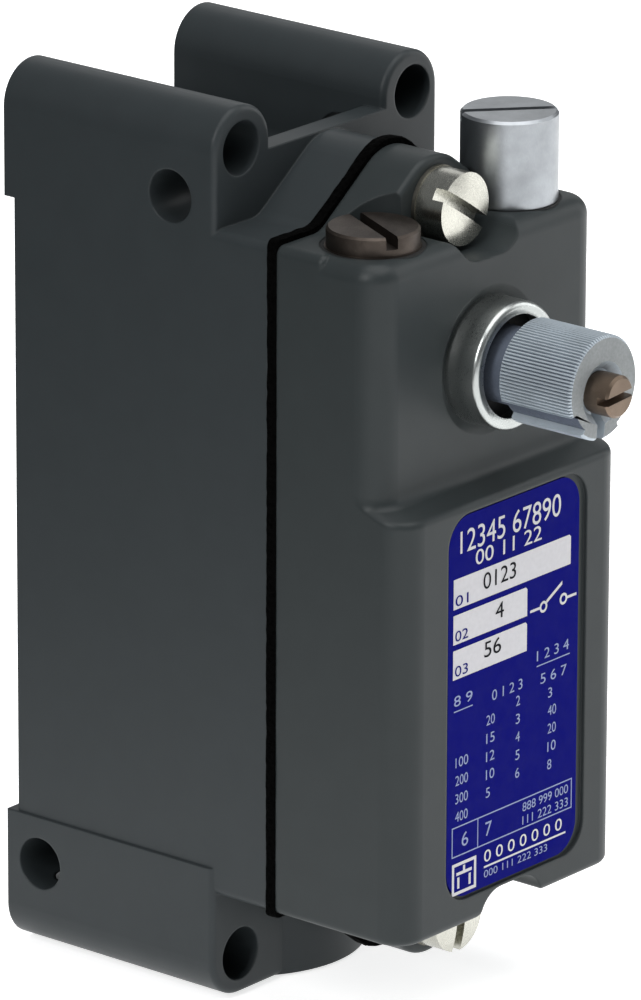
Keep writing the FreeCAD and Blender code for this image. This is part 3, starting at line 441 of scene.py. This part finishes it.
def operating_shaft(flank, hollow_shade, end_face):
    """Serrated, split shaft end on a plain journal that runs back through the bushing."""
    pocket_y = SHAFT_FRONT_Y + POCKET_DEPTH
    chamfer_y = SHAFT_FRONT_Y + END_CHAMFER
    rings = [shaft_ring(SHAFT_R - END_CHAMFER, 0.0, SHAFT_FRONT_Y, POCKET_R),
             shaft_ring(SHAFT_R - 0.02, SERRATION_DEPTH, chamfer_y, POCKET_R - END_CHAMFER),
             shaft_ring(SHAFT_R, SERRATION_DEPTH, pocket_y, POCKET_R - POCKET_DEPTH),
             shaft_ring(SHAFT_R, SERRATION_DEPTH, pocket_y + 0.05),
             shaft_ring(SHAFT_R, SERRATION_DEPTH, SERRATION_END_Y - 0.2),
             shaft_ring(SHAFT_R - 0.2, 0.0, SERRATION_END_Y)]
    points, faces = loft(rings)
    size = len(rings[0])
    faces += shaft_caps(size, 0, False)
    faces += shaft_caps(size, size * (len(rings) - 1), True)
    front = add_mesh("shaft_end_serrated", points, faces, flank, "shaft")
    front.data.materials.append(hollow_shade)
    front.data.materials.append(end_face)
    # Serration valleys and both channels take the darker second material: painted shade in these hollows.
    for face in front.data.polygons:
        outward = Vector((face.center.x, 0, face.center.z - SHAFT_Z * MM))
        radial = abs(face.normal.dot(outward.normalized())) > 0.8
        if face.center.y < (SHAFT_FRONT_Y + 0.02) * MM:
            face.material_index = 2
        elif radial and outward.length < (SHAFT_R - SERRATION_DEPTH * 0.6) * MM:
            face.material_index = 1
    journal = [(0.5, SERRATION_END_Y), (JOURNAL_R - 0.1, SERRATION_END_Y),
               (JOURNAL_R, SERRATION_END_Y + 0.1), (JOURNAL_R, RING_GROOVE_FRONT_Y),
               (RING_GROOVE_R, RING_GROOVE_FRONT_Y),
               (RING_GROOVE_R, RING_GROOVE_BACK_Y), (JOURNAL_R, RING_GROOVE_BACK_Y),
               (JOURNAL_R, JOURNAL_END_Y), (REAR_JOURNAL_R, JOURNAL_END_Y),
               (REAR_JOURNAL_R, REAR_END_Y - 0.1), (REAR_JOURNAL_R - 0.1, REAR_END_Y), (0.5, REAR_END_Y)]
    # The journal, deep in the cup, is drawn in the same darker material: painted shade there.
    rear = lathe("shaft_journal", journal, 0, SHAFT_Z, hollow_shade, "shaft", 64)
    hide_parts("operating_shaft")
    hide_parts("operating_shaft")


# ---------------------------------------------------------------- coil springs

def compression_spring(name, radius, wire, x, y, low_z, fixed_z, turns, material):
    """Coil spring wound from its lower end up to its top end."""
    steps = turns * TURN_POINTS
    rings = []
    for i in range(steps + 1):
        turn = math.tau * i / TURN_POINTS
        z = low_z + wire + (fixed_z - low_z - 2 * wire) * i / steps
        ring = []
        for side in range(WIRE_POINTS):
            a = math.tau * side / WIRE_POINTS
            reach = radius + wire * math.cos(a)
            ring.append((x + reach * math.cos(turn), y + reach * math.sin(turn), z + wire * math.sin(a)))
        rings.append(ring)
    points, faces = loft(rings)
    last = len(points) - WIRE_POINTS
    faces += [tuple(reversed(range(WIRE_POINTS))), tuple(range(last, len(points)))]
    spring = add_mesh(f"{name}_coil", points, faces, material, "housing", 60)
    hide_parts(name)
    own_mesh(spring)


# ---------------------------------------------------------------- gasket

def rounded_corner(before, corner, after, radius, steps=6):
    """Points of the tangent arc that turns one corner of an outline."""
    here = Vector(corner)
    back = (Vector(before) - here).normalized()
    ahead = (Vector(after) - here).normalized()
    half = back.angle(ahead) / 2
    centre = here + (back + ahead).normalized() * radius / math.sin(half)
    first = here + back * radius / math.tan(half) - centre
    last = here + ahead * radius / math.tan(half) - centre
    sweep = first.angle_signed(last)
    return [centre + Matrix.Rotation(-sweep * i / steps, 2) @ first for i in range(steps + 1)]


def body_outline(step=0.7):
    """Outline of the gasket, with points about every step along its straight runs."""
    half, top, low = GASKET_HALF_X, GASKET_TOP_Z, GASKET_LOW_Z
    rise = HUMP_RISE + HUMP_PROUD / math.cos(HUMP_SLOPE)
    high_apex, low_apex = HUMP_SCREWS_Z[0] + rise, HUMP_SCREWS_Z[1] - rise
    foot_top = (high_apex - top) / math.tan(HUMP_SLOPE)
    foot_low = (low - low_apex) / math.tan(HUMP_SLOPE)
    corners = [((half, top), GASKET_CORNER_R), ((foot_top, top), HUMP_FOOT_R), ((0, high_apex), HUMP_R),
               ((-foot_top, top), HUMP_FOOT_R), ((-half, top), GASKET_CORNER_R),
               ((-half, low), GASKET_CORNER_R), ((-foot_low, low), HUMP_FOOT_R), ((0, low_apex), HUMP_R),
               ((foot_low, low), HUMP_FOOT_R), ((half, low), GASKET_CORNER_R)]
    outline = []
    for i, (corner, radius) in enumerate(corners):
        turned = rounded_corner(corners[i - 1][0], corner, corners[(i + 1) % len(corners)][0], radius)
        if outline:
            run = turned[0] - outline[-1]
            count = max(1, int(run.length / step))
            start = outline[-1].copy()
            outline += [start + run * j / count for j in range(1, count)]
        outline += turned
    run = outline[0] - outline[-1]
    start = outline[-1].copy()
    count = max(1, int(run.length / step))
    return outline + [start + run * j / count for j in range(1, count)]


def gasket(material):
    """Foam gasket with a torn edge: pressed in between the castings and bulging unevenly."""
    outline = body_outline()
    layers = 6
    rings = []
    for k in range(layers + 1):
        t = k / layers
        y = GASKET_FRONT_Y + (GASKET_BACK_Y - GASKET_FRONT_Y) * t
        bulge = 0.10 * math.sin(math.pi * t)
        ring = []
        for i, p in enumerate(outline):
            tangent = outline[(i + 1) % len(outline)] - outline[i - 1]
            outward = Vector((-tangent.y, tangent.x)).normalized()
            rough = noise.noise(Vector((p.x * 0.9, k * 0.8, p.y * 0.9)))
            slow = noise.noise(Vector((p.x * 0.15, 7.3, p.y * 0.15)))
            shift = min(0.0, bulge - 0.16 + 0.16 * rough + 0.14 * slow)
            q = p - outward * shift
            ring.append((q.x, y, q.y))
        rings.append(ring)
    for y in (GASKET_BACK_Y, GASKET_FRONT_Y):
        ring = []
        for p in outline:
            x = max(-CAVITY_HALF_X, min(CAVITY_HALF_X, p.x))
            z = max(-CAVITY_HALF_Z, min(CAVITY_HALF_Z, p.y))
            ring.append((x, y, z))
        rings.append(ring)
    rings.append(rings[0])
    points, faces = loft(rings)
    piece = add_mesh("gasket_torn_foam", points, faces, material, "housing", 60)
    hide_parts("cover_gasket")


# ---------------------------------------------------------------- nameplate print

def print_patch(name, x0, x1, z0, z1, material, layer=1, clipped=0.0):
    """A thin printed rectangle on the nameplate, with one optional cut corner."""
    front = PLATE_FRONT_Y - PRINT_THICK * layer
    outline = [(x0, z0), (x1, z0), (x1, z1 - clipped), (x1 - clipped, z1), (x0, z1)]
    points = [(x, y, z) for y in (front, front + PRINT_THICK * 0.9) for x, z in outline]
    faces = [(0, 1, 2, 3, 4), (9, 8, 7, 6, 5)]
    faces += [(i, (i + 1) % 5, (i + 1) % 5 + 5, i + 5) for i in range(5)]
    patch = add_mesh(name, points, faces, material, "housing")


def print_frame(name, x0, x1, z0, z1, line, material):
    """Outline of a rectangle, as four thin printed strips."""
    print_patch(name + "_low", x0, x1, z0, z0 + line, material)
    print_patch(name + "_high", x0, x1, z1 - line, z1, material)
    print_patch(name + "_left", x0, x0 + line, z0 + line, z1 - line, material)
    print_patch(name + "_right", x1 - line, x1, z0 + line, z1 - line, material)


def print_text(name, text, x, z, height, width, material, layer=1):
    """Digits printed on the nameplate, fitted to a height and a width."""
    curve = bpy.data.curves.new(name, "FONT")
    curve.body = text
    curve.size = 1.0
    maker = bpy.data.objects.new(name + "_maker", curve)
    bpy.context.scene.collection.objects.link(maker)
    bpy.context.view_layer.update()
    mesh = bpy.data.meshes.new_from_object(maker)
    bpy.data.objects.remove(maker)
    bpy.data.curves.remove(curve)
    low_x = min(v.co.x for v in mesh.vertices)
    high_x = max(v.co.x for v in mesh.vertices)
    low_y = min(v.co.y for v in mesh.vertices)
    high_y = max(v.co.y for v in mesh.vertices)
    front = PLATE_FRONT_Y - PRINT_THICK * layer - 0.005
    for v in mesh.vertices:
        across = (v.co.x - low_x) / (high_x - low_x)
        up = (v.co.y - low_y) / (high_y - low_y)
        v.co = Vector((x + width * across, front, z + height * up)) * MM
    piece = add_piece(name, mesh, material, "housing")


def contact_symbol(x, z, size, material):
    """Plain drawing of an open contact: two terminals and a raised lever."""
    for k, side in enumerate((-1, 1)):
        cx = x + side * size * 0.42
        circles = []
        for radius in (size * 0.16, size * 0.09):
            circles.append([(cx + radius * math.cos(math.tau * i / 28), PLATE_FRONT_Y - PRINT_THICK,
                             z + radius * math.sin(math.tau * i / 28)) for i in range(28)])
        points, faces = loft(circles)
        add_mesh(f"symbol_terminal_{k}", points, faces, material, "housing")
        end = cx + side * size * 0.55
        inner = cx + side * size * 0.16
        print_patch(f"symbol_lead_{k}", min(inner, end), max(inner, end), z - size * 0.035, z + size * 0.035,
                    material)
    y = PLATE_FRONT_Y - PRINT_THICK
    start, tip = (x - size * 0.30, z + size * 0.10), (x + size * 0.36, z + size * 0.46)
    thick = size * 0.05
    lever = [(start[0], y, start[1] - thick), (tip[0], y, tip[1] - thick),
             (tip[0], y, tip[1] + thick), (start[0], y, start[1] + thick)]
    add_mesh("symbol_lever", lever, [(0, 1, 2, 3)], material, "housing")


def nameplate_print(white, pale, dark, blue):
    """Generic print: counting digits, blank fields, a small table and a plain contact symbol."""
    print_text("title_digits", "12345 67890", -11.0, 5.6, 3.0, 20.4, white)
    print_text("class_digits", "00 11 22", -7.9, 3.3, 2.0, 13.4, white)
    print_patch("field_1", -12.25, 11.55, -1.55, 2.45, white, clipped=0.3)
    print_patch("field_2", -12.25, 2.7, -6.25, -2.35, white, clipped=0.3)
    print_patch("field_3", -12.25, 2.7, -10.95, -7.05, white, clipped=0.3)
    print_text("field_1_digits", "0123", -6.3, -0.4, 2.2, 6.6, dark, 2)
    print_text("field_2_digits", "4", -3.8, -5.0, 2.1, 1.7, dark, 2)
    print_text("field_3_digits", "56", -6.0, -9.6, 2.1, 3.4, dark, 2)
    for row, z in enumerate((-1.2, -5.9, -10.6)):
        print_text(f"field_{row + 1}_index", f"0{row + 1}", -11.9, z, 1.4, 2.6, blue, 2)
    contact_symbol(8.1, -5.9, 4.9, white)
    print_text("right_head_digits", "1 2 3 4", 4.8, -13.0, 1.4, 6.6, pale)
    print_patch("right_head_rule", 4.8, 11.6, -13.75, -13.6, pale)
    print_text("right_head_digits_2", "5 6 7", 5.6, -16.3, 1.4, 5.4, pale)
    print_text("left_head_digits", "8 9", -12.0, -14.6, 1.4, 3.7, pale)
    print_patch("left_head_rule", -12.0, -8.2, -15.35, -15.2, pale)
    print_text("middle_head_digits", "0 1 2 3", -4.3, -15.8, 1.4, 6.2, pale)
    table = ((-11.6, -22.9, (100, 200, 300, 400)), (-5.4, -18.9, (20, 15, 12, 10, 5)),
             (0.6, -17.9, (2, 3, 4, 5, 6)), (7.2, -18.6, (3, 40, 20, 10, 8)))
    for column, (x, top, numbers) in enumerate(table):
        for row, number in enumerate(numbers):
            width = 0.85 * len(str(number))
            print_text(f"cell_{column}_{row}", str(number), x, top - 2.45 * row, 1.35, width, pale)
    print_frame("outlined_box", -12.2, 12.4, -35.0, -30.9, 0.16, pale)
    print_patch("outlined_box_divider", -7.0, -6.85, -34.84, -31.06, pale)
    print_text("box_index", "6", -10.2, -33.9, 1.9, 1.3, pale)
    print_text("box_index_2", "7", -5.4, -33.9, 1.9, 1.3, pale)
    print_text("box_digits", "888 999 000", 2.2, -32.7, 1.2, 9.4, pale)
    print_text("box_digits_2", "111 222 333", 2.2, -34.5, 1.2, 9.4, pale)
    print_frame("corner_square", -12.1, -7.2, -40.2, -35.9, 0.42, white)
    contact_symbol_small(white)
    print_text("foot_digits", "0 0 0 0 0 0 0", -5.6, -37.4, 1.6, 16.0, white)
    print_patch("foot_rule", -5.6, 11.2, -38.15, -37.9, white)
    print_text("foot_note_digits", "000 111 222 333", -5.6, -39.5, 1.0, 13.0, pale)


def contact_symbol_small(material):
    """Closed push contact inside the square in the lower corner: a bar above two stubs."""
    print_patch("stub_left", -11.0, -10.6, -39.4, -37.9, material)
    print_patch("stub_right", -8.7, -8.3, -39.4, -37.9, material)
    print_patch("stub_bar", -11.2, -8.1, -37.6, -37.2, material)
    print_patch("stub_stem", -9.85, -9.45, -37.2, -36.5, material)


# ---------------------------------------------------------------- camera, lights and floor

def view_axes():
    azimuth, elevation, roll = (math.radians(a) for a in (VIEW_AZIMUTH, VIEW_ELEVATION, VIEW_ROLL))
    back = Vector((math.sin(azimuth) * math.cos(elevation), -math.cos(azimuth) * math.cos(elevation),
                   math.sin(elevation)))
    level = (-back).cross(Vector((0, 0, 1))).normalized()
    upright = level.cross(-back)
    right = math.cos(roll) * level + math.sin(roll) * upright
    up = -math.sin(roll) * level + math.cos(roll) * upright
    return right, up, back


def camera():
    right, up, back = view_axes()
    data = bpy.data.cameras.new("view_camera")
    data.lens = LENS_MM
    data.clip_start = 0.05
    data.clip_end = 20
    made = bpy.data.objects.new("view_camera", data)
    bpy.context.scene.collection.objects.link(made)
    place = Matrix.Translation(back * VIEW_DISTANCE + right * VIEW_RIGHT + up * VIEW_UP)
    made.matrix_world = place @ Matrix((right, up, back)).transposed().to_4x4()
    bpy.context.scene.camera = made


def softbox(name, azimuth, elevation, distance, size, power):
    """Rectangular light that looks at the object; the azimuth counts from the front towards the right."""
    a, e = math.radians(azimuth), math.radians(elevation)
    place = Vector((math.sin(a) * math.cos(e), -math.cos(a) * math.cos(e), math.sin(e))) * distance
    data = bpy.data.lights.new(name, "AREA")
    data.shape = "RECTANGLE"
    data.size, data.size_y = size
    data.energy = power
    made = bpy.data.objects.new(name, data)
    bpy.context.scene.collection.objects.link(made)
    made.location = place
    made.rotation_mode = "QUATERNION"
    made.rotation_quaternion = (-place).to_track_quat("-Z", "Y")


def studio():
    world = bpy.data.worlds.new("studio")
    world.use_nodes = True
    background = world.node_tree.nodes["Background"]
    background.inputs["Color"].default_value = (0.9, 0.95, 1.0, 1)
    background.inputs["Strength"].default_value = 0.14
    bpy.context.scene.world = world
    bpy.context.scene.view_settings.view_transform = "Standard"
    softbox("overhead", 10, 78, 1.3, (1.4, 1.4), 16)
    softbox("right", 62, 20, 1.2, (0.6, 0.9), 4)
    softbox("front", 8, 14, 1.4, (0.35, 0.8), 0.4)
    softbox("left", -84, 34, 1.3, (0.3, 0.7), 7.5)
    softbox("behind_right", 132, 24, 1.5, (1.6, 0.7), 2.6)
    floor()


def floor():
    """White light table, which turns dark beyond the left of the object like a black flag there."""
    bm = bmesh.new()
    bmesh.ops.create_grid(bm, x_segments=1, y_segments=1, size=3.0)
    mesh = bpy.data.meshes.new("floor")
    bm.to_mesh(mesh)
    bm.free()
    made = bpy.data.objects.new("floor", mesh)
    made.location.z = CAD_BOUNDS[0].z - 0.0004
    bpy.context.scene.collection.objects.link(made)
    m = Material("floor_white")
    parts = m.node("ShaderNodeSeparateXYZ")
    m.plug(m.position, parts.inputs[0])
    a = math.radians(VIEW_AZIMUTH)
    sideways = m.math("ADD", m.math("MULTIPLY", parts.outputs[0], math.cos(a)),
                      m.math("MULTIPLY", parts.outputs[1], math.sin(a)))
    pale = m.remap(sideways, -0.20, -0.04, 0, 1)
    m.set(Base_Color=m.mix(pale, (0.06, 0.06, 0.06, 1), (0.85, 0.85, 0.85, 1)))
    m.set(Emission_Color=m.mix(pale, (0, 0, 0, 1), (1, 1, 1, 1)), Emission_Strength=0.72)
    m.set(Roughness=0.8, Specular_IOR_Level=0.1)
    mesh.materials.append(m.material)


camera()
studio()
shaft_zinc = metal("shaft_zinc", rgb(176, 186, 194), 0.45, (2, 12, 2), stain=0.8, pits=0.15, metallic=0.3)
label_blue = ink("label_blue", rgb(0, 3, 104))
spring_steel = metal("spring_steel", rgb(150, 150, 152), 0.3)
dress_cad_nodes(shaft_zinc, spring_steel, label_blue)
compression_spring("return_spring", radius=3.9, wire=0.55, x=13.6, y=-53.9, low_z=35.4, fixed_z=53.38,
                   turns=7, material=spring_steel)
compression_spring("carrier_spring", radius=3.0, wire=0.35, x=0.0, y=-14.0, low_z=26.04, fixed_z=35.98,
                   turns=6, material=spring_steel)
seal_cup(metal("cup_nickel", rgb(188, 192, 190), 0.27, (1, 14, 1), 0.03, stain=0.85))
# The darker second material is painted shade, for the shaft's hollows and its journal.
operating_shaft(shaft_zinc, metal("shaft_hollow_shade", rgb(92, 100, 114), 0.5, (1, 1, 1), metallic=0.3),
                metal("shaft_face", rgb(142, 146, 147), 0.55, stain=0.85, pits=0.3, metallic=0.4))
gasket(foam("gasket_foam"))
nameplate_print(ink("print_white", rgb(200, 199, 202)), ink("print_pale", rgb(140, 150, 186)),
                ink("print_dark", rgb(24, 24, 28)), label_blue)
